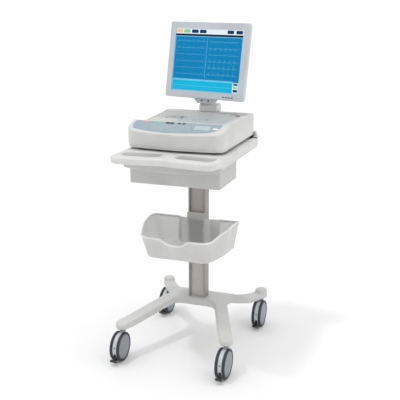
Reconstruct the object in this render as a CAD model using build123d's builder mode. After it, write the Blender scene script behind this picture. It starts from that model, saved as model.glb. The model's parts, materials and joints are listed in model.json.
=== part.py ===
"""Electrocardiograph workstation: touch monitor, recorder and drawer on a wheeled cart.

Millimetres, +Z up, +X to the viewer's right, and the front faces -Y.
The origin is on the floor, under the middle of the whole object.
Most planes below stand on the column's axis, so their own Y counts from that axis.
"""

from build123d import *
import math
import os

os.makedirs("parts", exist_ok=True)

# ---- driving dimensions ----------------------------------------------------------------
running_gap = 0.05          # radial clearance of every shaft that turns

# casters
wheel_radius = 62.5
wheel_inner_x = 9.6         # inner face of each twin wheel, from the caster's middle
wheel_outer_x = 21.4
hub_radius = 51.5
caster_trail = 29.0
axle_radius = 5.0
stem_radius = 5.5
housing_half = 8.4
caster_top = 133.5
stem_tip = 156.0
pedal_pivot = (-26.0, -26.0)    # from the axle, towards the back and up
pedal_pin_radius = 2.5

# base casting
front_stem = (234.0, -316.0)
rear_stem = (234.0, 222.0)
leg_width = 56.0
base_underside = 134.0
hub_top = 197.0

# column
column_width = 79.5
column_depth = 53.5
column_top = 900.0
channel_width = 61.0
channel_depth = 16.0

# tray and handle
tray_top = 912.0
tray_thick = 6.0
tray_half = 216.0
tray_back = 186.0
rail_bottom = 874.0
skirt_bottom = 865.0
grip_bar_bottom = 884.0
handle_front = 440.0

# drawer
drawer_half = 194.0
drawer_front_y = -290.0
drawer_back_y = -69.0
drawer_bottom = 776.0
drawer_top = 877.0
drawer_wall = 3.0

# storage bin
bin_bottom = 453.0
bin_top = 582.0
bin_wall = 3.0

# recorder
recorder_left = -214.0
recorder_right = 203.0
recorder_front = -294.0
recorder_bow = 18.0
recorder_back = 154.5
recorder_bottom = 921.0
recorder_split = 934.0
recorder_top_z = 1017.0
recorder_ridge_z = 1022.0
panel_back_y = -205.0
slope_foot_y = -289.0
slope_foot_z = 988.0
cover_back = 92.0
cover_front = -197.0
cover_right = 150.0
cover_drop = 2.0
deck_floor = 1009.0

# monitor and its mount
swivel_y = 150.0
swivel_angle = -11.3
tilt_angle = 10.55
face_forward = 34.1         # front glass ahead of the swivel axis, at the screen's middle
face_height = 1239.6
screen_width = 338.0
screen_height = 270.0
monitor_width = 394.0
monitor_height = 328.5
bezel_depth = 15.0
edge_depth = 31.0
back_depth = 58.0
tilt_axis_y = -22.0         # from the swivel axis
tilt_axis_z = 1062.0
post_top = 1045.0

# fasteners that tie the frame together
column_bolt_x = 29.0
column_bolt_y = 8.0
column_bolt_radius = 4.0
counterbore_top = 172.0
tray_screws = [(-90, -45), (90, -45), (-90, 65), (90, 65)]
tray_screw_radius = 2.5
post_screw_x = 26.0
post_screw_y = 171.0
hook_screw_x = 34.5
hook_screw_z = 556.0
hook_thick = 3.5
hook_half = 39.5
strip_thick = 2.5

# hand grips and the drawer's front lip
grip_length = 160.0
grip_width = 78.0
grip_middle_x = 113.0
grip_middle_y = -345.0
grip_turn = 6.0
lip_half = 206.0
lip_bottom = 846.0
lip_top = 878.0
lip_bow = 376.0

# inside the recorder
panel_thick = 2.4
start_key_place = (157, 7)
well_floor = 953.0
roller_y = -177.0
roller_z = 991.0
board_z = 940.0
board_posts = [(-150, -200), (150, -200), (-150, 80), (150, 80)]
mains_x = 110.0
socket_z = 968.0
spindle_radius = 9.0

# The column stands behind the middle of the footprint, which runs from the handle's
# front edge to the back of the rear wheels.
rear_reach = rear_stem[1] - caster_trail + wheel_radius
column_y = (handle_front - rear_reach) / 2

floor = Plane(origin=(0, column_y, 0), x_dir=(1, 0, 0), z_dir=(0, 0, 1))
side = Plane(origin=(0, column_y, 0), x_dir=(0, 1, 0), z_dir=(1, 0, 0))
front = Plane(origin=(0, column_y, 0), x_dir=(1, 0, 0), z_dir=(0, -1, 0))

# The monitor's own directions: right along its width, up its face, and out of its front.
swing = math.radians(swivel_angle)
lean = math.radians(tilt_angle)
right_dir = Vector(math.cos(swing), math.sin(swing), 0)
facing = Vector(math.sin(swing), -math.cos(swing), 0)
face_out = facing * math.cos(lean) + Vector(0, 0, math.sin(lean))
head_origin = Vector(0, column_y + swivel_y, 0)
face_centre = head_origin + facing * face_forward + Vector(0, 0, face_height)

face = Plane(origin=face_centre, x_dir=right_dir, z_dir=face_out)
head = Plane(origin=head_origin, x_dir=right_dir, z_dir=(0, 0, 1))
head_side = Plane(origin=head_origin, x_dir=-facing, z_dir=right_dir)
head_front = Plane(origin=head_origin, x_dir=right_dir, z_dir=facing)


def save(piece, node):
    """Label a finished sub-part and write it as the STEP file of its node."""
    piece.label = node
    export_step(piece, f"parts/{node}.step")


# ---- casters ---------------------------------------------------------------------------
def caster_housing(axle, stem):
    """Flat body between the twin wheels, with the swivel head and the pedal's slot."""
    profile_plane = Plane(origin=axle, x_dir=(0, 1, 0), z_dir=(1, 0, 0))
    head_height = caster_top - 6.5
    with BuildPart() as housing:
        with BuildSketch(profile_plane):
            Circle(wheel_radius - 4.5)
            with Locations((0, -wheel_radius + 10)):
                Rectangle(2 * wheel_radius, 20, mode=Mode.SUBTRACT)
            with Locations((caster_trail, 42)):
                RectangleRounded(26, 40, 6)
        extrude(amount=housing_half, both=True)
        with BuildSketch(Plane(origin=(stem[0], stem[1], head_height))):
            Circle(13)
        extrude(amount=-3.5)
        # the pedal's slot, open at the front and below
        with BuildSketch(profile_plane):
            with Locations((-40, -32)):
                Rectangle(48, 36)
        extrude(amount=5.6, both=True, mode=Mode.SUBTRACT)
        with BuildSketch(profile_plane):
            Circle(axle_radius)
            with Locations(pedal_pivot):
                Circle(pedal_pin_radius)
        extrude(amount=20, both=True, mode=Mode.SUBTRACT)
        with BuildSketch(Plane(origin=(stem[0], stem[1], head_height))):
            Circle(stem_radius)
        extrude(amount=-27, mode=Mode.SUBTRACT)
        # the lock's inspection hole in the front edge
        hole_mouth = Plane(
            origin=(axle[0], axle[1] - wheel_radius, axle[2] + 14),
            x_dir=(1, 0, 0),
            z_dir=(0, 1, 0),
        )
        with BuildSketch(hole_mouth):
            Circle(3.6)
        extrude(amount=20, mode=Mode.SUBTRACT)
    return housing.part


def caster_pins(axle, stem):
    """Swivel stem with its collar, wheel axle and pedal pin: three steel solids."""
    pivot_y, pivot_z = pedal_pivot
    with BuildPart() as pins:
        with BuildSketch(Plane(origin=(stem[0], stem[1], caster_top - 33.5))):
            Circle(stem_radius)
        extrude(amount=stem_tip - caster_top + 33.5)
        with BuildSketch(Plane(origin=(stem[0], stem[1], caster_top - 6.5))):
            Circle(12)
        extrude(amount=6.5)
        with BuildSketch(Plane(origin=axle, x_dir=(0, 1, 0), z_dir=(1, 0, 0))):
            Circle(axle_radius)
        extrude(amount=19, both=True)
        pin_middle = (axle[0], axle[1] + pivot_y, axle[2] + pivot_z)
        with BuildSketch(Plane(origin=pin_middle, x_dir=(0, 1, 0), z_dir=(1, 0, 0))):
            Circle(pedal_pin_radius)
        extrude(amount=housing_half, both=True)
    return pins.part


def caster_pedal(axle):
    """Brake lever: an arm between the wheels and a wide toe pad in front of them."""
    profile_plane = Plane(origin=axle, x_dir=(0, 1, 0), z_dir=(1, 0, 0))
    with BuildPart() as pedal:
        with BuildSketch(profile_plane):
            with BuildLine():
                Polyline(
                    (-20, -20),
                    (-24, -33),
                    (-62, -46),
                    (-74, -44),
                    (-75, -37),
                    (-62, -33),
                    (-32, -18),
                    close=True,
                )
            make_face()
        extrude(amount=5, both=True)
        with BuildSketch(profile_plane):
            with Locations((-69, -40)):
                RectangleRounded(11, 10, 3)
        extrude(amount=13, both=True)
        with BuildSketch(profile_plane):
            with Locations(pedal_pivot):
                Circle(pedal_pin_radius + running_gap)
        extrude(amount=20, both=True, mode=Mode.SUBTRACT)
    return pedal.part


def wheel_plane(axle, outward):
    """Plane whose X runs out along the axle and whose Y is the distance from it."""
    return Plane(origin=axle, x_dir=(outward, 0, 0), z_dir=(0, -outward, 0))


def caster_hub(axle, outward):
    """Wheel disc with a slightly domed cap and a blind bore for the axle."""
    bore = axle_radius + running_gap
    with BuildPart() as hub:
        with BuildSketch(wheel_plane(axle, outward)):
            with BuildLine():
                Polyline(
                    (19.3, 0),
                    (19.3, bore),
                    (wheel_inner_x, bore),
                    (wheel_inner_x, hub_radius),
                    (20.2, hub_radius),
                )
                ThreePointArc((20.2, hub_radius), (21.6, hub_radius * 0.6), (22.2, 14))
                Polyline((22.2, 14), (22.2, 0), (19.3, 0))
            make_face()
        revolve(axis=Axis(origin=axle, direction=(1, 0, 0)))
    return hub.part


def caster_tyre(axle, outward):
    """Tread ring round the hub, with rounded shoulders."""
    shoulder = 4.0
    with BuildPart() as tyre:
        with BuildSketch(wheel_plane(axle, outward)) as section:
            with BuildLine():
                Polyline(
                    (wheel_inner_x, hub_radius),
                    (wheel_outer_x, hub_radius),
                    (wheel_outer_x, wheel_radius),
                    (wheel_inner_x, wheel_radius),
                    close=True,
                )
            make_face()
            fillet(section.vertices().group_by(Axis.Z)[-1], radius=shoulder)
        revolve(axis=Axis(origin=axle, direction=(1, 0, 0)))
    return tyre.part


corners = {
    "front_left": (-front_stem[0], front_stem[1]),
    "front_right": (front_stem[0], front_stem[1]),
    "rear_left": (-rear_stem[0], rear_stem[1]),
    "rear_right": (rear_stem[0], rear_stem[1]),
}
for corner, (stem_x, stem_y) in corners.items():
    stem_foot = (stem_x, column_y + stem_y)
    axle_middle = (stem_x, column_y + stem_y - caster_trail, wheel_radius)
    save(caster_housing(axle_middle, stem_foot), f"{corner}_caster_housing")
    save(caster_pins(axle_middle, stem_foot), f"{corner}_caster_pins")
    save(caster_pedal(axle_middle), f"{corner}_brake_pedal")
    for wheel, outward in (("left", -1), ("right", 1)):
        save(caster_hub(axle_middle, outward), f"{corner}_{wheel}_hub")
        save(caster_tyre(axle_middle, outward), f"{corner}_{wheel}_tyre")


# ---- base casting ----------------------------------------------------------------------
# Heights of the top and the underside along Y: the front legs droop evenly to their
# casters, and the rear legs drop quickly and end in raised bosses.
casting_top = [(-350, 158), (-316, 163), (-258, 169), (-193, 177), (-130, 187), (-60, 195)]
casting_top_rear = [(62, hub_top), (90, 184), (130, 166), (175, 158), (260, 158)]
casting_under = [(262, 134), (190, 134), (165, 130), (135, 130), (100, 138), (60, 150), (0, 160)]
casting_under_front = [(-60, 163), (-130, 156), (-193, 147), (-258, 138), (-290, 134), (-350, 134)]

with BuildPart() as base_casting:
    with BuildSketch(floor.offset(120)) as plan:
        with Locations((0, 16)):
            Rectangle(268, 116)
        with BuildLine(mode=Mode.PRIVATE) as front_leg:
            ThreePointArc((88, 40), (158, -138), front_stem)
        with BuildLine(mode=Mode.PRIVATE) as rear_leg:
            ThreePointArc((62, 44), (162, 124), rear_stem)
        SlotArc(front_leg.edge(), leg_width)
        SlotArc(rear_leg.edge(), leg_width - 2)
        mirror(about=Plane.YZ)
        front_crotches = [v for v in plan.vertices() if abs(v.X) < 140 and -50 < v.Y < -20]
        fillet(front_crotches, radius=60)
        other_crossings = [v for v in plan.vertices() if abs(v.X) < 140 and -20 < v.Y < 80]
        fillet(other_crossings, radius=26)
    extrude(amount=90)
    # keep only what lies between the two height lines
    with BuildSketch(side) as heights:
        with BuildLine():
            Polyline(
                *casting_top,
                (-45, hub_top),
                *casting_top_rear,
                *casting_under,
                *casting_under_front,
                close=True,
            )
        make_face()
    extrude(amount=300, both=True, mode=Mode.INTERSECT)
    for sign in (-1, 1):
        boss_axis = Plane(
            origin=(sign * rear_stem[0], column_y + rear_stem[1], 0),
            x_dir=(1, 0, 0),
            z_dir=(0, -1, 0),
        )
        with BuildSketch(boss_axis):
            with BuildLine():
                Line((0, base_underside), (leg_width / 2, base_underside))
                Line((leg_width / 2, base_underside), (leg_width / 2, 164))
                ThreePointArc((leg_width / 2, 164), (24.5, 172.5), (16, 176))
                Line((16, 176), (0, 176))
                Line((0, 176), (0, base_underside))
            make_face()
        revolve(axis=Axis(origin=boss_axis.origin, direction=(0, 0, 1)))
    # caster sockets, open below
    for stem_x, stem_y in corners.values():
        with BuildSketch(floor.offset(base_underside - 10)):
            with Locations((stem_x, stem_y)):
                Circle(stem_radius + running_gap)
        extrude(amount=stem_tip + 1 - base_underside + 10, mode=Mode.SUBTRACT)
    # bolt holes up into the column, with counterbores for their heads
    for sign in (-1, 1):
        with BuildSketch(floor.offset(100)):
            with Locations((sign * column_bolt_x, column_bolt_y)):
                Circle(column_bolt_radius)
        extrude(amount=120, mode=Mode.SUBTRACT)
        with BuildSketch(floor.offset(100)):
            with Locations((sign * column_bolt_x, column_bolt_y)):
                Circle(8)
        extrude(amount=counterbore_top - 100, mode=Mode.SUBTRACT)
save(base_casting.part, "base_casting")


# ---- column ----------------------------------------------------------------------------
with BuildPart() as column_extrusion:
    with BuildSketch(floor.offset(hub_top)):
        RectangleRounded(column_width, column_depth, 5)
        with Locations((0, -column_depth / 2)):
            Rectangle(channel_width, 2 * channel_depth, mode=Mode.SUBTRACT)
        with Locations((0, column_depth / 2)):
            Rectangle(40, 16, mode=Mode.SUBTRACT)
        with Locations((0, 4)):
            RectangleRounded(40, 16, 2, mode=Mode.SUBTRACT)
        with Locations((-column_bolt_x, column_bolt_y), (column_bolt_x, column_bolt_y)):
            Circle(column_bolt_radius, mode=Mode.SUBTRACT)
    extrude(amount=column_top - hub_top)
    # tapped holes for the bin hook
    hook_face = Plane(origin=(0, column_y - column_depth / 2, 0), x_dir=(1, 0, 0), z_dir=(0, 1, 0))
    with BuildSketch(hook_face):
        with Locations((-hook_screw_x, -hook_screw_z), (hook_screw_x, -hook_screw_z)):
            Circle(2.5)
    extrude(amount=12, mode=Mode.SUBTRACT)
save(column_extrusion.part, "column_extrusion")

strip_front = -column_depth / 2 + channel_depth - strip_thick
with BuildPart() as channel_strip:
    with BuildSketch(floor.offset(hub_top + 0.5)):
        with Locations((0, strip_front + strip_thick / 2)):
            Rectangle(channel_width - 0.4, strip_thick)
        for sign in (-1, 1):
            with Locations((sign * (channel_width / 2 - 1.4), strip_front - 1.5)):
                Rectangle(2.4, 3)
    extrude(amount=column_top - hub_top - 1)
save(channel_strip.part, "channel_strip")

with BuildPart() as tray_bracket:
    with BuildSketch(floor.offset(column_top)):
        with Locations((0, 10)):
            RectangleRounded(220, 150, 12)
    extrude(amount=tray_top - tray_thick - column_top)
    with BuildSketch(floor.offset(column_top)):
        with Locations((0, 4)):
            RectangleRounded(39.6, 15.6, 1.8)
    extrude(amount=-45)
    with BuildSketch(floor.offset(column_top - 1)):
        with Locations((-column_bolt_x, column_bolt_y), (column_bolt_x, column_bolt_y)):
            Circle(column_bolt_radius)
    extrude(amount=20, mode=Mode.SUBTRACT)
    with BuildSketch(floor.offset(column_top - 1)):
        with Locations(*tray_screws):
            Circle(tray_screw_radius)
    extrude(amount=20, mode=Mode.SUBTRACT)
save(tray_bracket.part, "tray_bracket")

with BuildPart() as frame_bolts:
    for sign in (-1, 1):
        # two long bolts from below the base into the column
        with BuildSketch(floor.offset(counterbore_top)):
            with Locations((sign * column_bolt_x, column_bolt_y)):
                Circle(column_bolt_radius)
        extrude(amount=60)
        with BuildSketch(floor.offset(counterbore_top)):
            with Locations((sign * column_bolt_x, column_bolt_y)):
                RegularPolygon(7, 6)
        extrude(amount=-7)
        # two bolts from the bracket down into the column
        with BuildSketch(floor.offset(tray_top - tray_thick)):
            with Locations((sign * column_bolt_x, column_bolt_y)):
                Circle(column_bolt_radius)
        extrude(amount=-40)
        # two screws that hold the bin hook to the column
        hook_screw_face = Plane(
            origin=(sign * hook_screw_x, column_y - column_depth / 2 - hook_thick, hook_screw_z),
            x_dir=(1, 0, 0),
            z_dir=(0, 1, 0),
        )
        with BuildSketch(hook_screw_face):
            Circle(2.5)
        extrude(amount=hook_thick + 11)
        with BuildSketch(hook_screw_face):
            Circle(4.5)
        extrude(amount=-2.4)
        # two screws up through the tray into the monitor post
        with BuildSketch(floor.offset(tray_top - tray_thick)):
            with Locations((sign * post_screw_x, post_screw_y)):
                Circle(2.5)
        extrude(amount=24)
        with BuildSketch(floor.offset(tray_top - tray_thick)):
            with Locations((sign * post_screw_x, post_screw_y)):
                Circle(5)
        extrude(amount=-3)
    with BuildSketch(floor.offset(column_top)):
        with Locations(*tray_screws):
            Circle(tray_screw_radius)
    extrude(amount=tray_top - column_top - 1)
    with BuildSketch(floor.offset(column_top)):
        with Locations(*tray_screws):
            Circle(tray_screw_radius + 2)
    extrude(amount=-3)
save(frame_bolts.part, "frame_bolts")


# ---- storage bin and its hook ----------------------------------------------------------
hook_front = -column_depth / 2 - hook_thick
with BuildPart() as bin_hook:
    with BuildSketch(side):
        with BuildLine():
            Polyline(
                (-column_depth / 2, 548),
                (-column_depth / 2, 596),
                (hook_front - 10, 596),
                (hook_front - 10, 572),
                (hook_front - 7.5, 572),
                (hook_front - 7.5, 593),
                (hook_front, 593),
                (hook_front, 548),
                close=True,
            )
        make_face()
    extrude(amount=hook_half, both=True)
    with BuildSketch(Plane(origin=(0, column_y, 0), x_dir=(1, 0, 0), z_dir=(0, 1, 0))):
        with Locations((-hook_screw_x, -hook_screw_z), (hook_screw_x, -hook_screw_z)):
            Circle(2.5)
    extrude(amount=-35, mode=Mode.SUBTRACT)
save(bin_hook.part, "bin_hook")


def bin_outline(height, front_half, middle_half, back_half, front_y, middle_y, back_y, corner, inset):
    """Plan of the bin at one height: a tub that widens to the back and steps round the column."""
    with BuildSketch(floor.offset(height)) as outline:
        with BuildLine():
            Polyline(
                (-front_half + inset, front_y + inset),
                (front_half - inset, front_y + inset),
                (middle_half - inset, middle_y),
                (back_half - inset, back_y - inset),
                (94 + inset, back_y - inset),
                (66 + inset, notch_y - inset),
                (-66 - inset, notch_y - inset),
                (-94 - inset, back_y - inset),
                (-back_half + inset, back_y - inset),
                (-middle_half + inset, middle_y),
                close=True,
            )
        make_face()
        fillet(outline.vertices().group_by(Axis.Y)[0], radius=corner - inset)
        back_corners = [v for v in outline.vertices() if v.Y > back_y - inset - 0.1]
        fillet([v for v in back_corners if abs(v.X) > 120], radius=bin_back_corner - inset)
        fillet([v for v in back_corners if abs(v.X) < 120], radius=10 - inset / 2)
        notch_corners = [v for v in outline.vertices() if abs(v.Y - notch_y + inset) < 0.1]
        fillet(notch_corners, radius=10)
        side_bends = [v for v in outline.vertices() if abs(v.Y - middle_y) < 0.1]
        fillet(side_bends, radius=bin_side_bend)
    return outline.sketch


notch_y = hook_front - 3.5
bin_back_corner = 40.0
bin_side_bend = 260.0
bin_low = (bin_bottom, 138, 168, 176, -268, -140, 2, 48, 0)
bin_high = (bin_top, 152, 191, 199, -316, -165, 12, 44, 0)
inner_low = (bin_bottom + bin_wall, 138.3, 168.5, 176.5, -269, -140.5, 2.2, 48, bin_wall)
inner_high = (bin_top + 0.01, 152, 191, 199, -316, -165, 12, 44, bin_wall)

with BuildPart() as storage_bin:
    loft([bin_outline(*bin_low), bin_outline(*bin_high)])
    loft([bin_outline(*inner_low), bin_outline(*inner_high)], mode=Mode.SUBTRACT)
    # the rim is low at the front and highest beside the middle
    with BuildSketch(side):
        with BuildLine():
            Line((-400, 551), (-296, 551))
            Spline(
                (-296, 551), (-225, 565), (-165, 573), (-105, 579.5), (-40, 573), (40, 550),
                tangents=[(1, 0.05), (1, -0.3)],
            )
            Line((40, 548), (40, bin_top + 20))
            Line((40, bin_top + 20), (-400, bin_top + 20))
            Line((-400, bin_top + 20), (-400, 551))
        make_face()
    extrude(amount=260, both=True, mode=Mode.SUBTRACT)
    # the dip in the middle of the front rim
    with BuildSketch(front.offset(240)):
        with BuildLine():
            Spline(
                (-70, 552), (-52, 542), (-28, 527), (0, 524), (28, 527), (52, 542), (70, 552),
                tangents=[(1, -0.2), (1, 0.2)],
            )
            Line((70, 552), (70, 600))
            Line((70, 600), (-70, 600))
            Line((-70, 600), (-70, 552))
        make_face()
    extrude(amount=120, mode=Mode.SUBTRACT)
    # the tab that hangs in the hook
    with BuildSketch(side):
        with Locations((hook_front - 3.75, 577.5)):
            Rectangle(7.5, 31)
    extrude(amount=35, both=True)
save(storage_bin.part, "storage_bin")


# ---- tray, handle and drawer -----------------------------------------------------------
with BuildPart() as tray:
    with BuildSketch(floor.offset(grip_bar_bottom)) as tray_plan:
        with BuildLine():
            Line((0, tray_back), (tray_half - 16, tray_back))
            Line((tray_half - 16, tray_back), (tray_half, tray_back - 16))
            Line((tray_half, tray_back - 16), (tray_half + 3, -190))
            Line((tray_half + 3, -190), (tray_half + 3, -396))
            ThreePointArc((tray_half + 3, -396), (209, -428), (180, -handle_front))
            ThreePointArc((180, -handle_front), (92, -434), (0, -422))
            Line((0, -422), (0, tray_back))
        make_face()
        mirror(about=Plane.YZ)
    extrude(amount=tray_top - grip_bar_bottom)
    # the side rails reach lower than the grip bar, and the skirt lower again
    with BuildSketch(floor.offset(rail_bottom)):
        with Locations((0, (tray_back - 344) / 2)):
            RectangleRounded(2 * tray_half, tray_back + 344, 12)
    extrude(amount=grip_bar_bottom - rail_bottom)
    with BuildSketch(floor.offset(skirt_bottom)):
        with Locations((0, (tray_back - 318) / 2 - 2)):
            RectangleRounded(2 * tray_half - 6, tray_back + 318 - 4, 12)
    extrude(amount=rail_bottom - skirt_bottom)
    # the room under the deck, where the drawer and its slides run
    with BuildSketch(floor.offset(skirt_bottom - 1)):
        with Locations((0, (tray_back - 420) / 2)):
            Rectangle(2 * tray_half - 16, tray_back + 420 - 16)
    extrude(amount=grip_bar_bottom - skirt_bottom + 1, mode=Mode.SUBTRACT)
    with BuildSketch(floor.offset(skirt_bottom - 1)):
        with Locations((0, (tray_back - 300) / 2)):
            Rectangle(2 * tray_half - 16, tray_back + 300 - 16)
    extrude(amount=tray_top - tray_thick - skirt_bottom + 1, mode=Mode.SUBTRACT)
    # two hand grips right through the handle
    for sign in (-1, 1):
        with BuildSketch(floor.offset(rail_bottom - 1)):
            with Locations((sign * grip_middle_x, grip_middle_y)):
                RectangleRounded(grip_length, grip_width, 28, rotation=-sign * grip_turn)
        extrude(amount=40, mode=Mode.SUBTRACT)
    # raised rim at the back corners
    for sign in (-1, 1):
        with BuildSketch(floor.offset(tray_top)):
            with Locations((sign * (tray_half - 60), tray_back - 5)):
                Rectangle(100, 8)
            with Locations((sign * (tray_half - 6), tray_back - 23)):
                Rectangle(8, 14)
        extrude(amount=20)
    with BuildSketch(floor.offset(tray_top - tray_thick - 1)):
        with Locations(*tray_screws):
            Circle(tray_screw_radius)
        with Locations((-post_screw_x, post_screw_y), (post_screw_x, post_screw_y)):
            Circle(2.5)
    extrude(amount=20, mode=Mode.SUBTRACT)
save(tray.part, "tray")

with BuildPart() as drawer_box:
    with BuildSketch(floor.offset(drawer_bottom)):
        with Locations((0, (drawer_front_y + drawer_back_y) / 2)):
            RectangleRounded(2 * drawer_half, drawer_back_y - drawer_front_y, 6)
    extrude(amount=drawer_top - drawer_bottom)
    fillet(drawer_box.edges().group_by(Axis.Z)[0], radius=3)
    with BuildSketch(floor.offset(drawer_bottom + drawer_wall)):
        with Locations((0, (drawer_front_y + drawer_back_y) / 2)):
            RectangleRounded(
                2 * (drawer_half - drawer_wall), drawer_back_y - drawer_front_y - 2 * drawer_wall, 3
            )
    extrude(amount=drawer_top - drawer_bottom, mode=Mode.SUBTRACT)
save(drawer_box.part, "drawer_box")


def lip_outline(inset):
    """Plan of the bowed drawer front, ending against the drawer's own front wall."""
    with BuildSketch(floor.offset(lip_bottom)) as outline:
        with BuildLine():
            Line((-lip_half + inset, drawer_front_y), (-lip_half + inset, -322))
            ThreePointArc((-lip_half + inset, -322), (0, -lip_bow + inset), (lip_half - inset, -322))
            Line((lip_half - inset, -322), (lip_half - inset, drawer_front_y))
            Line((lip_half - inset, drawer_front_y), (-lip_half + inset, drawer_front_y))
        make_face()
    return outline.sketch


with BuildPart() as drawer_front:
    add(lip_outline(0))
    extrude(amount=lip_top - lip_bottom)
    with BuildSketch(floor.offset(lip_bottom + 4)):
        with BuildLine():
            Line((-lip_half + 4, drawer_front_y - 4), (-lip_half + 4, -320))
            ThreePointArc((-lip_half + 4, -320), (0, -lip_bow + 4), (lip_half - 4, -320))
            Line((lip_half - 4, -320), (lip_half - 4, drawer_front_y - 4))
            Line((lip_half - 4, drawer_front_y - 4), (-lip_half + 4, drawer_front_y - 4))
        make_face()
    extrude(amount=lip_top - lip_bottom, mode=Mode.SUBTRACT)
save(drawer_front.part, "drawer_front")

with BuildPart() as slide_rails:
    for sign in (-1, 1):
        with BuildSketch(front.offset(286)):
            with Locations((sign * 204.2, 872)):
                Rectangle(7.4, 16)
            with Locations((sign * 202.2, 872)):
                Rectangle(7.4, 12, mode=Mode.SUBTRACT)
        extrude(amount=-448)
save(slide_rails.part, "slide_rails")

with BuildPart() as slide_runners:
    for sign in (-1, 1):
        with BuildSketch(front.offset(286)):
            with Locations((sign * 199.5, 871)):
                Rectangle(11, 9)
        extrude(amount=-350)
save(slide_runners.part, "slide_runners")


# ---- recorder --------------------------------------------------------------------------
def recorder_plan(inset):
    """Plan of the recorder's case: large front corners and a gently bowed front."""
    left = recorder_left + inset
    right = recorder_right - inset
    front_y = recorder_front + inset
    corner_y = front_y + recorder_bow
    back_y = recorder_back - inset
    with BuildSketch(floor) as outline:
        with BuildLine():
            Line((left, corner_y), (left, back_y))
            Line((left, back_y), (right, back_y))
            Line((right, back_y), (right, corner_y))
            ThreePointArc((right, corner_y), ((left + right) / 2, front_y), (left, corner_y))
        make_face()
        fillet(outline.vertices().group_by(Axis.Y)[0], radius=38 - inset)
        back_corners = outline.vertices().group_by(Axis.Y)[-1].sort_by(Axis.X)
        fillet(back_corners[0], radius=28 - inset)
        fillet(outline.vertices().group_by(Axis.Y)[-1].sort_by(Axis.X)[-1], radius=12 - inset / 2)
    return outline.sketch


slope = math.atan2(recorder_ridge_z - slope_foot_z, panel_back_y - slope_foot_y)
key_plane = Plane(
    origin=(0, column_y + (slope_foot_y + panel_back_y) / 2, (recorder_ridge_z + slope_foot_z) / 2),
    x_dir=(1, 0, 0),
    z_dir=(0, -math.sin(slope), math.cos(slope)),
)
slope_reach = 30.0
recorder_reach = 260.0


def slope_profile(drop, lid, back):
    """Side view of the case: the sloping front, then a flat or gently falling lid."""
    fall = slope_reach * math.tan(slope)
    with BuildSketch(side.offset(-recorder_reach)) as outline:
        with BuildLine():
            Polyline(
                (slope_foot_y - slope_reach, recorder_split - 1),
                (slope_foot_y - slope_reach, slope_foot_z - fall - drop),
                *lid,
                (back, recorder_split - 1),
                close=True,
            )
        make_face()
    return outline.sketch


# The left side falls away beside the sliding cover, along a line that closes in to the front.
relief_back = Vector(-197, column_y + 118, recorder_top_z)
relief_front = Vector(-162, column_y + cover_front, recorder_ridge_z)
relief_along = (relief_front - relief_back).normalized()
relief_plane = Plane(
    origin=relief_front,
    x_dir=relief_along,
    z_dir=Vector(-1, 0, -1).cross(relief_along).normalized(),
)


def side_relief(inset):
    """The space cut from the case's left side, or from its hollow when inset."""
    with BuildPart(mode=Mode.PRIVATE) as space:
        with BuildSketch(relief_plane.offset(-inset)):
            Rectangle(1400, 400)
        extrude(amount=90)
        with BuildSketch(floor.offset(recorder_split)):
            with Locations((0, cover_front - 5 - inset + 300)):
                Rectangle(700, 600)
        extrude(amount=200, mode=Mode.INTERSECT)
    return space.part


with BuildPart(mode=Mode.PRIVATE) as recorder_block:
    add(recorder_plan(0).moved(Location((0, 0, recorder_split))))
    extrude(amount=recorder_ridge_z - recorder_split)
    lid_line = [(panel_back_y, recorder_ridge_z), (recorder_back + 2, recorder_top_z)]
    case_profile = slope_profile(0, lid_line, recorder_back + 2)
    extrude(case_profile, amount=2 * recorder_reach, dir=(1, 0, 0), mode=Mode.INTERSECT)
    add(side_relief(0), mode=Mode.SUBTRACT)
case_block = recorder_block.part

with BuildPart(mode=Mode.PRIVATE) as recorder_hollow:
    add(recorder_plan(3.5).moved(Location((0, 0, recorder_split - 1))))
    extrude(amount=recorder_ridge_z - recorder_split)
    hollow_drop = 9.0
    hollow_top = 1000.0
    meet_y = slope_foot_y + (hollow_top - slope_foot_z + hollow_drop) / math.tan(slope)
    hollow_line = [(meet_y, hollow_top), (recorder_back, hollow_top)]
    hollow_profile = slope_profile(hollow_drop, hollow_line, recorder_back)
    extrude(hollow_profile, amount=2 * recorder_reach, dir=(1, 0, 0), mode=Mode.INTERSECT)
    add(side_relief(4), mode=Mode.SUBTRACT)


def panel_outline():
    """The keyboard panel's outline, at the bottom of its seat in the sloping face."""
    with BuildSketch(key_plane.offset(-panel_thick)) as outline:
        with BuildLine():
            Spline(
                (-186, -18), (-148, -29), (-100, -37), (-45, -41), (30, -37), (105, -28), (158, -11),
                tangents=[(1, -0.35), (1, 0.55)],
            )
            Polyline((158, -11), (172, 8), (179, 42), (-194, 42), (-197, 14), (-186, -18))
        make_face()
        fillet(outline.vertices().sort_by(Axis.Y)[-2:], radius=5)
    return outline.sketch


with BuildPart() as recorder_base:
    add(recorder_plan(2).moved(Location((0, 0, recorder_bottom))))
    extrude(amount=recorder_split - recorder_bottom)
    fillet(recorder_base.edges().group_by(Axis.Z)[0], radius=4)
    add(recorder_plan(5).moved(Location((0, 0, recorder_bottom + 3))))
    extrude(amount=20, mode=Mode.SUBTRACT)
    with BuildSketch(floor.offset(recorder_bottom + 3)):
        with Locations(*board_posts):
            Circle(5)
    extrude(amount=board_z - recorder_bottom - 3)
save(recorder_base.part, "recorder_base")

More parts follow.
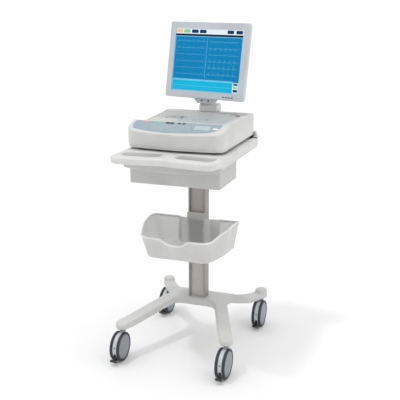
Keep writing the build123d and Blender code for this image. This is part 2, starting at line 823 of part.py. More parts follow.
with BuildPart() as recorder_top:
    add(case_block)
    add(recorder_hollow.part, mode=Mode.SUBTRACT)
    # pocket for the sliding cover, open at the left
    with BuildSketch(floor.offset(deck_floor)):
        with Locations(((cover_right + recorder_left - 8) / 2, (cover_front + cover_back) / 2)):
            Rectangle(cover_right - recorder_left + 8, cover_back - cover_front)
    extrude(amount=30, mode=Mode.SUBTRACT)
    # keyboard panel's seat
    extrude(panel_outline(), amount=20, dir=key_plane.z_dir, mode=Mode.SUBTRACT)
    # start key's well, through the seat
    with BuildSketch(key_plane):
        with Locations(start_key_place):
            SlotOverall(24, 12)
    extrude(amount=-14, mode=Mode.SUBTRACT)
    # paper slot above the roller, and the paper well behind it
    with BuildSketch(floor.offset(960)):
        with Locations((-10, -185)):
            Rectangle(224, 8)
    extrude(amount=60, mode=Mode.SUBTRACT)
    with BuildSketch(floor.offset(well_floor - 2)):
        with Locations((-20, -33)):
            Rectangle(264, 234)
    extrude(amount=deck_floor - well_floor + 2)
    with BuildSketch(floor.offset(well_floor)):
        with Locations((-20, -33)):
            Rectangle(260, 230)
    extrude(amount=60, mode=Mode.SUBTRACT)
    # groove across the back of the deck
    with BuildSketch(side):
        with Locations((cover_back + 11, recorder_top_z + 1)):
            Rectangle(10, 8)
    extrude(amount=recorder_right - 22, both=True, mode=Mode.SUBTRACT)
    # openings for the two sockets in the back wall
    with BuildSketch(front.offset(-recorder_back - 5)):
        with Locations((mains_x, socket_z)):
            RectangleRounded(30, 22, 2)
        with Locations((-mains_x, socket_z)):
            RectangleRounded(42, 16, 3)
    extrude(amount=20, mode=Mode.SUBTRACT)
save(recorder_top.part, "recorder_top")

cover_middle_y = (cover_front + cover_back) / 2
cover_length = cover_back - cover_front - 1
with BuildPart() as paper_cover:
    add(case_block.moved(Location((0, 0, -cover_drop))))
    # a flat plate over the well, a little below the case around it
    with BuildSketch(floor.offset(deck_floor + 0.4)):
        with Locations(((cover_right + recorder_left - 8) / 2 - 0.5, cover_middle_y)):
            Rectangle(cover_right - recorder_left + 8, cover_length)
    extrude(amount=30, mode=Mode.INTERSECT)
    # finger grip near the right edge
    with BuildSketch(floor.offset(recorder_top_z - 2)):
        with Locations((cover_right - 16, cover_back - 40)):
            SlotOverall(44, 12, rotation=90)
    extrude(amount=10, mode=Mode.SUBTRACT)
save(paper_cover.part, "paper_cover")

with BuildPart() as keyboard_panel:
    extrude(panel_outline(), amount=panel_thick, dir=key_plane.z_dir)
    # raised touchpad
    with BuildSketch(key_plane):
        with Locations((102, 9)):
            RectangleRounded(68, 32, 4)
    extrude(amount=0.6)
    with BuildSketch(key_plane):
        with Locations(start_key_place):
            SlotOverall(24, 12)
    extrude(amount=10, both=True, mode=Mode.SUBTRACT)
save(keyboard_panel.part, "keyboard_panel")

with BuildPart() as start_key:
    with BuildSketch(key_plane.offset(-9)):
        with Locations(start_key_place):
            SlotOverall(23.2, 11.2)
    extrude(amount=11)
    fillet(start_key.faces().sort_by(Axis.Z)[-1].edges(), radius=0.8)
save(start_key.part, "start_key")

with BuildPart() as print_head:
    with BuildSketch(side):
        with Locations((-176, 976)):
            Rectangle(34, 8)
        with Locations((-177, 981)):
            Rectangle(8, 4)
    extrude(amount=126, both=True)
    for sign in (-1, 1):
        with BuildSketch(side.offset(sign * 129)):
            with Locations((-176, 985)):
                Rectangle(34, 26)
            with Locations((roller_y, roller_z)):
                Circle(3 + running_gap, mode=Mode.SUBTRACT)
        extrude(amount=3, both=True)
save(print_head.part, "print_head")

with BuildPart() as platen_roller:
    with BuildSketch(side.offset(-133)):
        with Locations((roller_y, roller_z)):
            Circle(3)
    extrude(amount=266)
    with BuildSketch(side.offset(-122)):
        with Locations((roller_y, roller_z)):
            Circle(7)
    extrude(amount=244)
save(platen_roller.part, "platen_roller")

with BuildPart() as main_board:
    with BuildSketch(floor.offset(board_z)):
        with Locations((0, -60)):
            Rectangle(340, 320)
    extrude(amount=1.6)
    with BuildSketch(floor.offset(board_z + 1.6)):
        with Locations((-60, -120), (40, -140), (-20, 20)):
            Rectangle(32, 32)
        with Locations((90, -40), (-120, 40), (120, -180)):
            Rectangle(46, 18)
    extrude(amount=3)
save(main_board.part, "main_board")

with BuildPart() as battery_pack:
    with BuildSketch(floor.offset(board_z + 8)):
        with Locations((155, -30)):
            RectangleRounded(62, 180, 5)
    extrude(amount=42)
save(battery_pack.part, "battery_pack")

with BuildPart() as recorder_feet:
    with BuildSketch(floor.offset(tray_top)):
        with Locations((-160, -240), (160, -240), (-160, 120), (160, 120)):
            Circle(11)
    extrude(amount=recorder_bottom - tray_top)
save(recorder_feet.part, "recorder_feet")

with BuildPart() as rear_sockets:
    socket_plane = front.offset(-recorder_back + 8)
    with BuildSketch(socket_plane):
        with Locations((mains_x, socket_z)):
            RectangleRounded(30, 22, 2)
    extrude(amount=-10)
    with BuildSketch(front.offset(-recorder_back - 2)):
        with Locations((mains_x, socket_z)):
            Rectangle(24, 16)
    extrude(amount=7, mode=Mode.SUBTRACT)
    with BuildSketch(front.offset(-recorder_back + 2)):
        with Locations((mains_x - 7, socket_z), (mains_x, socket_z + 4), (mains_x + 7, socket_z)):
            Rectangle(2, 4)
    extrude(amount=-3)
    with BuildSketch(socket_plane):
        with Locations((-mains_x, socket_z)):
            RectangleRounded(42, 16, 3)
    extrude(amount=-10)
    with BuildSketch(front.offset(-recorder_back - 2)):
        with Locations((-mains_x, socket_z)):
            RectangleRounded(36, 10, 2)
    extrude(amount=7, mode=Mode.SUBTRACT)
save(rear_sockets.part, "rear_sockets")


# ---- monitor post, swivel and tilt -----------------------------------------------------
with BuildPart() as neck_post:
    with BuildSketch(side):
        with BuildLine():
            Polyline(
                (158, tray_top),
                (185, tray_top),
                (188, post_top - 20),
                (188, post_top),
                (115, post_top),
                (115, 1019.5),
                (158, 1019.5),
                close=True,
            )
        make_face()
    extrude(amount=40, both=True)
    upright = neck_post.edges().filter_by(Axis.Z)
    fillet(upright.filter_by(lambda e: e.center().Z > 1020), radius=5)
    with BuildSketch(floor.offset(1023)):
        with Locations((0, swivel_y)):
            Circle(spindle_radius + running_gap)
    extrude(amount=40, mode=Mode.SUBTRACT)
    with BuildSketch(floor.offset(tray_top - 1)):
        with Locations((-post_screw_x, post_screw_y), (post_screw_x, post_screw_y)):
            Circle(2.5)
    extrude(amount=19, mode=Mode.SUBTRACT)
save(neck_post.part, "neck_post")

with BuildPart() as swivel_head:
    with BuildSketch(head.offset(1024)):
        Circle(spindle_radius)
    extrude(amount=30)
    with BuildSketch(head.offset(post_top + 0.5)):
        RectangleRounded(74, 66, 12)
    extrude(amount=4.5)
    for sign in (-1, 1):
        with BuildSketch(head_side.offset(sign * 31)):
            with Locations((tilt_axis_y, (post_top + 5 + tilt_axis_z) / 2)):
                Rectangle(16, tilt_axis_z - post_top - 5)
            with Locations((tilt_axis_y, tilt_axis_z)):
                Circle(8)
        extrude(amount=3, both=True)
    with BuildSketch(head_side):
        with Locations((tilt_axis_y, tilt_axis_z)):
            Circle(3 + running_gap)
    extrude(amount=40, both=True, mode=Mode.SUBTRACT)
save(swivel_head.part, "swivel_head")

with BuildPart() as tilt_pin:
    with BuildSketch(head_side):
        with Locations((tilt_axis_y, tilt_axis_z)):
            Circle(3)
    extrude(amount=34.5, both=True)
save(tilt_pin.part, "tilt_pin")


def behind_glass(depth, up):
    """Where a point of the monitor's middle plane lies, from the swivel axis and the floor."""
    return (
        -face_forward + depth * math.cos(lean) + up * math.sin(lean),
        face_height - depth * math.sin(lean) + up * math.cos(lean),
    )


with BuildPart() as tilt_bracket:
    with BuildSketch(head_side):
        with BuildLine():
            Polyline(
                (-41, tilt_axis_z - 8),
                (-36, tilt_axis_z - 8),
                (-36, tilt_axis_z + 11),
                (0, tilt_axis_z + 11),
                behind_glass(back_depth + 10, -118),
                behind_glass(back_depth + 10, -76),
                behind_glass(back_depth + 0.2, -76),
                behind_glass(back_depth + 0.2, -110),
                behind_glass(edge_depth + 0.2, -116),
                behind_glass(edge_depth + 0.2, -163),
                (-41, tilt_axis_z + 11),
                close=True,
            )
        make_face()
    extrude(amount=62, both=True)
    with BuildSketch(head_front.offset(60)):
        with BuildLine():
            Polyline(
                (-41, tilt_axis_z - 9),
                (-62, tilt_axis_z + 14),
                (-62, tilt_axis_z + 60),
                (-48, tilt_axis_z + 110),
                (48, tilt_axis_z + 110),
                (62, tilt_axis_z + 60),
                (62, tilt_axis_z + 14),
                (41, tilt_axis_z - 9),
                close=True,
            )
        make_face()
    extrude(amount=-140, mode=Mode.INTERSECT)
    # knuckle between the swivel head's ears
    with BuildSketch(head_side):
        with Locations((tilt_axis_y, tilt_axis_z + 6)):
            Rectangle(14, 12)
        with Locations((tilt_axis_y, tilt_axis_z)):
            Circle(7.5)
    extrude(amount=27.4, both=True)
    with BuildSketch(head_side):
        with Locations((tilt_axis_y, tilt_axis_z)):
            Circle(3)
    extrude(amount=40, both=True, mode=Mode.SUBTRACT)
save(tilt_bracket.part, "tilt_bracket")


# ---- monitor ---------------------------------------------------------------------------
with BuildPart() as monitor_bezel:
    with BuildSketch(face.offset(-bezel_depth)):
        RectangleRounded(monitor_width, monitor_height, 7)
    extrude(amount=bezel_depth)
    fillet(monitor_bezel.faces().sort_by(Axis(face.origin, face.z_dir))[-1].edges(), radius=2.5)
    with BuildSketch(face):
        Rectangle(screen_width, screen_height)
    extrude(amount=-bezel_depth, mode=Mode.SUBTRACT)
    with BuildSketch(face.offset(-2.2)):
        Rectangle(screen_width + 22, screen_height + 22)
    extrude(amount=-bezel_depth, mode=Mode.SUBTRACT)
save(monitor_bezel.part, "monitor_bezel")

with BuildPart() as touch_glass:
    with BuildSketch(face.offset(-2.3)):
        Rectangle(screen_width + 21, screen_height + 21)
    extrude(amount=-2)
save(touch_glass.part, "touch_glass")

with BuildPart() as lcd_panel:
    with BuildSketch(face.offset(-4.4)):
        Rectangle(screen_width + 20, screen_height + 20)
    extrude(amount=-10)
save(lcd_panel.part, "lcd_panel")


def back_section(depth, width, height, up=0):
    """One rectangle of the back cover's stepped shape, parallel to the glass."""
    with BuildSketch(face.offset(-depth)) as section:
        with Locations((0, up)):
            RectangleRounded(width, height, 7)
    return section.sketch


with BuildPart() as monitor_back_cover:
    loft(
        [
            back_section(bezel_depth, monitor_width, monitor_height),
            back_section(edge_depth, monitor_width - 10, monitor_height - 10),
        ]
    )
    loft([back_section(edge_depth, 300, 232), back_section(back_depth, 262, 190)])
    loft(
        [
            back_section(bezel_depth - 0.01, monitor_width - 6, monitor_height - 6),
            back_section(edge_depth - 2.5, monitor_width - 15, monitor_height - 15),
        ],
        mode=Mode.SUBTRACT,
    )
    loft(
        [back_section(edge_depth - 2.6, 294, 226), back_section(back_depth - 2.5, 257, 185)],
        mode=Mode.SUBTRACT,
    )
    # rows of cooling slots near the top
    with BuildSketch(face.offset(-edge_depth - 2)):
        with Locations((0, 132)):
            with GridLocations(11, 1, 22, 1):
                SlotOverall(14, 3.5, rotation=90)
    extrude(amount=8, mode=Mode.SUBTRACT)
save(monitor_back_cover.part, "monitor_back_cover")

with BuildPart() as monitor_board:
    with BuildSketch(face.offset(-34)):
        Rectangle(200, 140)
    extrude(amount=-1.6)
    with BuildSketch(face.offset(-35.6)):
        with Locations((-50, 20), (30, -20)):
            Rectangle(30, 30)
        with Locations((60, 40), (-30, -50)):
            Rectangle(44, 14)
    extrude(amount=-6)
save(monitor_board.part, "monitor_board")
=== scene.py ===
"""Electrocardiograph workstation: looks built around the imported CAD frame.

Metres, +Z up, front towards -Y. Outlines drawn on a face are in millimetres on that face.
"""
import json
import math

import bmesh
import bpy
from mathutils import Matrix, Vector
from mathutils.bvhtree import BVHTree


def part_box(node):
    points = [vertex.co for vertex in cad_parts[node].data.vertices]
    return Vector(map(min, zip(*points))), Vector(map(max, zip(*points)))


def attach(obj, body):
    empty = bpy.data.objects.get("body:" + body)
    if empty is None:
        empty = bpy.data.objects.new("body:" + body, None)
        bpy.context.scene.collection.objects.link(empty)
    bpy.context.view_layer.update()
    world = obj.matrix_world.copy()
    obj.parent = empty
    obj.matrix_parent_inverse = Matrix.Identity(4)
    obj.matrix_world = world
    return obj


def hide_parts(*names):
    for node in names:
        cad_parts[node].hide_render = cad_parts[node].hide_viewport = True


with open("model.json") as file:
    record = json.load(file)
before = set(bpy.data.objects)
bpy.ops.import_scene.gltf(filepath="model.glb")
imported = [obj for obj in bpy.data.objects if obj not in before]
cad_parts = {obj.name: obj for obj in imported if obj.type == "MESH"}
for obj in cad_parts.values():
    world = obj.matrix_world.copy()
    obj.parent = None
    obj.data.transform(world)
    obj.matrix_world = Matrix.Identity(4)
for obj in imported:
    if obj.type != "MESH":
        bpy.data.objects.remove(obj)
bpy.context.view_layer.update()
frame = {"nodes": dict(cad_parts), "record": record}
nodes = frame["nodes"]

# the column's middle in the shared frame: depths in the CAD are measured from it
COLUMN_Y = 0.09225
# vertices nearer than this are one vertex, and faces that turn less than this are one face
WELD = 1e-6
FLAT = math.radians(0.6)
# an edge of the CAD mesh is rounded over only if it turns more than this
SHARP_EDGE = math.radians(25)
# vertices left nearer than this where two roundings meet are one vertex
ROUNDED_WELD = 2e-5
# an edge whose ends differ less than this in height is level, and one this near to a height lies on it
LEVEL = 0.001
ON_HEIGHT = 0.002
# faces that turn less than this from one to the next shade as one smooth surface
SMOOTH_ROUNDED = math.radians(38)
SMOOTH_TURNED = math.radians(35)
# how much of a remeshed casting's faces is kept
KEPT_FACES = 0.35


# ---- materials -------------------------------------------------------------------------
def new_material(name):
    made = bpy.data.materials.new(name)
    made.use_nodes = True
    tree = made.node_tree
    shader = tree.nodes["Principled BSDF"]
    return made, tree, shader


def noise(tree, scale, detail, stretch=(1, 1, 1)):
    """Smooth noise over the object's own coordinates, finer with a larger scale."""
    coords = tree.nodes.new("ShaderNodeTexCoord")
    mapping = tree.nodes.new("ShaderNodeMapping")
    mapping.inputs["Scale"].default_value = stretch
    texture = tree.nodes.new("ShaderNodeTexNoise")
    texture.inputs["Scale"].default_value = scale
    texture.inputs["Detail"].default_value = detail
    texture.inputs["Roughness"].default_value = 0.55
    tree.links.new(coords.outputs["Object"], mapping.inputs["Vector"])
    tree.links.new(mapping.outputs["Vector"], texture.inputs["Vector"])
    return texture.outputs["Fac"]


def ramp(tree, source, low, high):
    """Blend from one colour to another over the middle of a noise's range."""
    made = tree.nodes.new("ShaderNodeValToRGB")
    for element, position, color in zip(made.color_ramp.elements, (0.35, 0.65), (low, high)):
        element.position = position
        element.color = (*color, 1)
    tree.links.new(source, made.inputs["Fac"])
    return made.outputs["Color"]


def spread(tree, source, low, high):
    """Map a value from 0 to 1 onto another range."""
    made = tree.nodes.new("ShaderNodeMapRange")
    made.inputs["To Min"].default_value = low
    made.inputs["To Max"].default_value = high
    tree.links.new(source, made.inputs["Value"])
    return made.outputs["Result"]


def shade(color, factor):
    """A colour made lighter or darker, and never over 1."""
    return tuple(min(1.0, c * factor) for c in color)


# sizes of the broad colour drift and of the patches of gloss, as noise scales
DRIFT_SCALE = 9
GLOSS_SCALE = 35
# the mesh's pointiness where the painted highlight on outward edges begins, and where it is full
EDGE_HIGHLIGHT_FROM = 0.53
EDGE_HIGHLIGHT_FULL = 0.62
# how high the grain stands, and how far light carries in a plastic it glows through
GRAIN_HEIGHT = 0.001
GLOW_DEPTH = 0.024


def finish_material(name, color, rough=0.45, grain=900, grain_depth=0.06, mottle=0.05, metal=0.0,
                    stretch=(1, 1, 1), coat=0.0, edge_highlight=0.0, glow_through=0.0):
    """Broad colour drift, fine surface grain and uneven gloss, with outward edges painted a little lighter
    as a painted highlight.
    """
    made, tree, shader = new_material(name)
    drift = ramp(tree, noise(tree, DRIFT_SCALE, 4), shade(color, 1 - mottle), shade(color, 1 + mottle))
    # outward edges are painted up to a quarter lighter: a painted highlight along the edges
    if edge_highlight:
        geometry = tree.nodes.new("ShaderNodeNewGeometry")
        edge = tree.nodes.new("ShaderNodeMapRange")
        edge.inputs["From Min"].default_value = EDGE_HIGHLIGHT_FROM
        edge.inputs["From Max"].default_value = EDGE_HIGHLIGHT_FULL
        edge.inputs["To Max"].default_value = edge_highlight
        tree.links.new(geometry.outputs["Pointiness"], edge.inputs["Value"])
        mix = tree.nodes.new("ShaderNodeMix")
        mix.data_type = "RGBA"
        mix.inputs["B"].default_value = (*shade(color, 1.25), 1)
        tree.links.new(edge.outputs["Result"], mix.inputs["Factor"])
        tree.links.new(drift, mix.inputs["A"])
        drift = mix.outputs["Result"]
    tree.links.new(drift, shader.inputs["Base Color"])
    gloss = spread(tree, noise(tree, GLOSS_SCALE, 5), rough - 0.05, rough + 0.07)
    tree.links.new(gloss, shader.inputs["Roughness"])
    bump = tree.nodes.new("ShaderNodeBump")
    bump.inputs["Strength"].default_value = grain_depth
    bump.inputs["Distance"].default_value = GRAIN_HEIGHT
    tree.links.new(noise(tree, grain, 2, stretch), bump.inputs["Height"])
    tree.links.new(bump.outputs["Normal"], shader.inputs["Normal"])
    shader.inputs["Metallic"].default_value = metal
    shader.inputs["Coat Weight"].default_value = coat
    shader.inputs["Subsurface Weight"].default_value = glow_through
    shader.inputs["Subsurface Scale"].default_value = GLOW_DEPTH
    shader.inputs["Subsurface Radius"].default_value = (1.0, 1.0, 1.0)
    return made


# the edge setting given to a material below is how strongly its outward edges are painted lighter, a
# painted highlight
materials = {
    "plastic_white": finish_material("plastic_white", (0.62, 0.62, 0.61), 0.42, edge_highlight=0.5),
    "plastic_tray": finish_material("plastic_tray", (0.66, 0.66, 0.65), 0.40, edge_highlight=0.5),
    "plastic_drawer": finish_material("plastic_drawer", (0.52, 0.52, 0.505), 0.45, edge_highlight=0.4),
    "plastic_bin": finish_material("plastic_bin", (0.56, 0.56, 0.55), 0.38, edge_highlight=0.6, glow_through=0.75),
    "base_paint": finish_material("base_paint", (0.58, 0.58, 0.565), 0.38, grain=700, grain_depth=0.12,
                                  edge_highlight=0.5),
    "column_metal": finish_material("column_metal", (0.34, 0.34, 0.325), 0.45, grain=1800, metal=0.5,
                                    stretch=(1, 1, 0.01), mottle=0.04),
    "strip_plastic": finish_material("strip_plastic", (0.58, 0.53, 0.50), 0.55),
    "bracket_paint": finish_material("bracket_paint", (0.55, 0.545, 0.535), 0.5, grain=700,
                                     grain_depth=0.12),
    "steel": finish_material("steel", (0.55, 0.56, 0.58), 0.32, grain=1500, metal=1.0,
                             stretch=(1, 0.05, 1)),
    "hook_paint": finish_material("hook_paint", (0.66, 0.65, 0.62), 0.45, grain=700, grain_depth=0.1),
    "caster_grey": finish_material("caster_grey", (0.48, 0.50, 0.53), 0.40, edge_highlight=0.5),
    "hub_grey": finish_material("hub_grey", (0.25, 0.27, 0.31), 0.38, edge_highlight=0.6),
    "tread": finish_material("tread", (0.028, 0.031, 0.042), 0.55, grain=1200, grain_depth=0.2, mottle=0.2),
    "pedal_black": finish_material("pedal_black", (0.02, 0.02, 0.022), 0.35, mottle=0.2),
    "panel_blue": finish_material("panel_blue", (0.27, 0.35, 0.405), 0.3, grain_depth=0.03, coat=0.2),
    "key_white": finish_material("key_white", (0.75, 0.78, 0.79), 0.3, grain_depth=0.03),
    "cover_grey": finish_material("cover_grey", (0.42, 0.44, 0.43), 0.4, edge_highlight=0.5),
    "print_metal": finish_material("print_metal", (0.5, 0.51, 0.53), 0.35, metal=1.0, stretch=(0.02, 1, 1)),
    "roller_rubber": finish_material("roller_rubber", (0.02, 0.02, 0.02), 0.7, grain_depth=0.2, mottle=0.2),
    "board_green": finish_material("board_green", (0.02, 0.11, 0.05), 0.4, mottle=0.15),
    "battery_wrap": finish_material("battery_wrap", (0.03, 0.035, 0.06), 0.35, mottle=0.15),
    "foot_rubber": finish_material("foot_rubber", (0.02, 0.02, 0.02), 0.75, grain_depth=0.2, mottle=0.2),
    "socket_black": finish_material("socket_black", (0.02, 0.02, 0.022), 0.4, mottle=0.2),
    "post_paint": finish_material("post_paint", (0.64, 0.64, 0.635), 0.4, edge_highlight=0.4),
    "bezel_silver": finish_material("bezel_silver", (0.56, 0.59, 0.64), 0.36, metal=0.15, edge_highlight=0.4),
}


def glass_material():
    """Clear glass with a low bend, so that the picture behind it stays where it is."""
    made, _, shader = new_material("glass")
    shader.inputs["Base Color"].default_value = (0.95, 0.98, 1, 1)
    shader.inputs["Roughness"].default_value = 0.04
    shader.inputs["Transmission Weight"].default_value = 1.0
    shader.inputs["IOR"].default_value = 1.12
    return made


def lit_material(name, color):
    """A lit area of the display, a little uneven as a real panel's backlight is."""
    made, tree, shader = new_material(name)
    glow = ramp(tree, noise(tree, 6, 2), shade(color, 0.93), shade(color, 1.0))
    shader.inputs["Base Color"].default_value = (*shade(color, 0.12), 1)
    tree.links.new(glow, shader.inputs["Emission Color"])
    shader.inputs["Emission Strength"].default_value = 1.0
    shader.inputs["Specular IOR Level"].default_value = 0.08
    shader.inputs["Roughness"].default_value = 0.3
    return made


materials["glass"] = glass_material()
materials["screen"] = lit_material("screen", (0.001, 0.215, 0.47))
stem_black = finish_material("stem_black", (0.025, 0.028, 0.035), 0.4, metal=0.5)

# every CAD node gets its slot's material, but the casters' stems are blackened steel
for row in frame["record"]["subparts"]:
    held = nodes[row["node"]].data.materials
    held.clear()
    held.append(stem_black if row["node"].endswith("_caster_pins") else materials[row["material_slot"]])

slot_of = {row["node"]: row["material_slot"] for row in frame["record"]["subparts"]}
body_of = {node: body for body, held in frame["record"]["behaviour"]["bodies"].items() for node in held}


# ---- pieces ----------------------------------------------------------------------------
def piece(name, data, body, material, slot, *replaced):
    """A finished mesh or curve as an object that rides on a body and may stand for CAD nodes."""
    data.materials.append(material)
    made = bpy.data.objects.new(name, data)
    bpy.context.scene.collection.objects.link(made)
    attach(made, body)
    if replaced:
        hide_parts(*replaced)
    return made


def axes(origin, right, up):
    """A flat face's own directions: right, up and out of the face, in metres."""
    right, up = Vector(right), Vector(up)
    out = right.cross(up)
    turn = Matrix((right, up, out)).transposed().to_4x4()
    return Matrix.Translation(origin) @ turn


def printed(name, outlines, where, low, high, body, material, slot):
    """Thin raised shapes on a face: each outline, in mm on the face, runs from low to high above it."""
    mesh = bpy.data.meshes.new(name)
    shape = bmesh.new()
    for outline in outlines:
        bottom = [shape.verts.new(where @ Vector((u / 1000, v / 1000, low / 1000))) for u, v in outline]
        top = [shape.verts.new(where @ Vector((u / 1000, v / 1000, high / 1000))) for u, v in outline]
        shape.faces.new(top)
        shape.faces.new(list(reversed(bottom)))
        for k in range(len(outline)):
            n = (k + 1) % len(outline)
            shape.faces.new((bottom[k], bottom[n], top[n], top[k]))
    bmesh.ops.recalc_face_normals(shape, faces=shape.faces)
    shape.to_mesh(mesh)
    shape.free()
    return piece(name, mesh, body, material, slot)


# a little under a half circle, so that an end's two corners never meet
ROUND_END = 0.98


def pill(u0, v0, u1, v1, radius=None, steps=4):
    """Outline of a rectangle with rounded corners, or round ends when no radius is given."""
    radius = min(u1 - u0, v1 - v0) / 2 * ROUND_END if radius is None else radius
    corners = [(u1 - radius, v1 - radius, 0), (u0 + radius, v1 - radius, 90),
               (u0 + radius, v0 + radius, 180), (u1 - radius, v0 + radius, 270)]
    points = []
    for cu, cv, start in corners:
        for k in range(steps + 1):
            turn = math.radians(start + 90 * k / steps)
            points.append((cu + radius * math.cos(turn), cv + radius * math.sin(turn)))
    return points


def bar(u0, v0, u1, v1):
    """Outline of a plain rectangle."""
    return [(u0, v0), (u1, v0), (u1, v1), (u0, v1)]


def ribbon(points, width):
    """Narrow outlines, one for each run of a line, that overlap at its corners."""
    outlines = []
    for (u0, v0), (u1, v1) in zip(points, points[1:]):
        run = math.hypot(u1 - u0, v1 - v0)
        side_u, side_v = -(v1 - v0) / run * width / 2, (u1 - u0) / run * width / 2
        outlines.append([(u0 + side_u, v0 + side_v), (u0 - side_u, v0 - side_v),
                         (u1 - side_u, v1 - side_v), (u1 + side_u, v1 + side_v)])
    return outlines


def sketch_marks(u, v, width, height, line):
    """A small drawing with no words: a box, a sheet rising from it and an arrow head."""
    box = [(u, v), (u + width, v), (u + width, v + height * 0.45), (u, v + height * 0.45), (u, v)]
    sheet = [(u + width * 0.2, v + height * 0.45), (u + width * 0.35, v + height),
             (u + width * 0.8, v + height), (u + width * 0.75, v + height * 0.45)]
    arrow = [(u + width * 0.85, v + height * 0.6), (u + width, v + height * 0.8),
             (u + width * 1.15, v + height * 0.6)]
    return ribbon(box, line) + ribbon(sheet, line) + ribbon(arrow, line)


def heartbeats(start, end, level, period, height):
    """One lead's line: a flat baseline with a small wave, a spike and a broad wave in each beat."""
    beat = ((0.0, 0), (0.18, 0), (0.24, 0.16), (0.30, 0), (0.38, 0), (0.41, -0.16), (0.45, 1.0),
            (0.49, -0.28), (0.53, 0), (0.66, 0), (0.74, 0.26), (0.82, 0))
    points = []
    u = start
    while u + period <= end:
        points += [(u + share * period, level + rise * height) for share, rise in beat]
        u += period
    return points + [(end, level)]


def welded(node):
    """A copy of a CAD node's mesh whose faces share their vertices."""
    shape = bmesh.new()
    shape.from_mesh(nodes[node].data)
    bmesh.ops.remove_doubles(shape, verts=shape.verts, dist=WELD)
    return shape


def cleaned(node):
    """A welded copy of a CAD node's mesh with its flat faces whole again."""
    shape = welded(node)
    bmesh.ops.dissolve_limit(shape, angle_limit=FLAT, verts=shape.verts, edges=shape.edges)
    return shape


def middle_of(e):
    """The middle of an edge."""
    return (e.verts[0].co + e.verts[1].co) / 2


def is_level(e):
    """True when both ends of an edge are at the same height."""
    return abs(e.verts[0].co.z - e.verts[1].co.z) < LEVEL


def rounded_copy(node, width, chosen):
    """Stand in for a CAD node with a copy whose chosen sharp edges are rounded over."""
    shape = cleaned(node)
    edges = [e for e in shape.edges if len(e.link_faces) == 2
             and e.calc_face_angle() > SHARP_EDGE and chosen(e)]
    bmesh.ops.bevel(shape, geom=edges, offset=width, offset_type="OFFSET", segments=4,
                    profile=0.5, affect="EDGES", clamp_overlap=False)
    bmesh.ops.remove_doubles(shape, verts=shape.verts, dist=ROUNDED_WELD)
    mesh = bpy.data.meshes.new(node + "_rounded")
    shape.to_mesh(mesh)
    shape.free()
    mesh.shade_smooth()
    mesh.set_sharp_from_angle(angle=SMOOTH_ROUNDED)
    return piece(node + "_rounded", mesh, body_of[node], materials[slot_of[node]], slot_of[node], node)


def cast_copy(node, voxel, passes):
    """Stand in for a CAD node with a copy remeshed and smoothed like a soft-edged casting."""
    shape = welded(node)
    mesh = bpy.data.meshes.new(node + "_cast")
    shape.to_mesh(mesh)
    shape.free()
    made = piece(node + "_cast", mesh, body_of[node], materials[slot_of[node]], slot_of[node], node)
    remesh = made.modifiers.new("remesh", "REMESH")
    remesh.mode = "VOXEL"
    remesh.voxel_size = voxel
    remesh.use_smooth_shade = True
    smooth = made.modifiers.new("smooth", "SMOOTH")
    smooth.factor = 0.5
    smooth.iterations = passes
    fewer = made.modifiers.new("flat", "DECIMATE")
    fewer.decimate_type = "COLLAPSE"
    fewer.ratio = KEPT_FACES
    apply_modifiers(made)
    made.data.shade_smooth()
    return made


def apply_modifiers(made):
    """Bake an object's modifiers into its own mesh."""
    graph = bpy.context.evaluated_depsgraph_get()
    graph.update()
    baked = bpy.data.meshes.new_from_object(made.evaluated_get(graph))
    made.modifiers.clear()
    old = made.data
    made.data = baked
    bpy.data.meshes.remove(old)


def lathe(name, profile, middle, axis, body, material, slot):
    """Turn a profile of (along the axis, radius) pairs, in mm, about an axis through a point."""
    steps = 24
    mesh = bpy.data.meshes.new(name)
    shape = bmesh.new()
    along = Vector(axis).normalized()
    side = Vector((0, 0, 1)) if abs(along.z) < 0.9 else Vector((1, 0, 0))
    side = (side - along * side.dot(along)).normalized()
    other = along.cross(side)
    rings = []
    for distance, radius in profile:
        centre = Vector(middle) + along * distance / 1000
        if radius == 0:
            rings.append([shape.verts.new(centre)])
            continue
        turns = [2 * math.pi * k / steps for k in range(steps)]
        rings.append([shape.verts.new(centre + (side * math.cos(t) + other * math.sin(t)) * radius / 1000)
                      for t in turns])
    for one, two in zip(rings, rings[1:]):
        for k in range(steps):
            n = (k + 1) % steps
            corners = [one[k % len(one)], one[n % len(one)], two[n % len(two)], two[k % len(two)]]
            corners = list(dict.fromkeys(corners))
            if len(corners) > 2:
                shape.faces.new(corners)
    bmesh.ops.recalc_face_normals(shape, faces=shape.faces)
    shape.to_mesh(mesh)
    shape.free()
    mesh.shade_smooth()
    mesh.set_sharp_from_angle(angle=SMOOTH_TURNED)
    return piece(name, mesh, body, material, slot)


def tube(name, points, radius, body, material, slot):
    """A round bead along a line of points."""
    curve = bpy.data.curves.new(name, "CURVE")
    curve.dimensions = "3D"
    curve.bevel_depth = radius
    curve.bevel_resolution = 3
    curve.use_fill_caps = True
    spline = curve.splines.new("POLY")
    spline.points.add(len(points) - 1)
    for held, point in zip(spline.points, points):
        held.co = (*point, 1)
    return piece(name, curve, body, material, slot)


# ---- cart ------------------------------------------------------------------------------
cast_copy("base_casting", 0.003, 14)

TRAY_TOP_Z = 0.912
TRAY_SIDE_X = 0.205
HANDLE_UNDER_Z = 0.884
HANDLE_Y = COLUMN_Y - 0.30
HANDLE_FRONT_Y = COLUMN_Y - 0.35


def tray_edges(e):
    """Top edges of the handle, the grips and the outer sides, and the handle's lower edges."""
    middle = middle_of(e)
    top = abs(middle.z - TRAY_TOP_Z) < ON_HEIGHT
    outer = middle.y < HANDLE_Y or abs(middle.x) > TRAY_SIDE_X
    under = abs(middle.z - HANDLE_UNDER_Z) < ON_HEIGHT and middle.y < HANDLE_FRONT_Y
    return is_level(e) and ((top and outer) or under)


rounded_copy("tray", 0.008, tray_edges)

front_low, front_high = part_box("drawer_front")


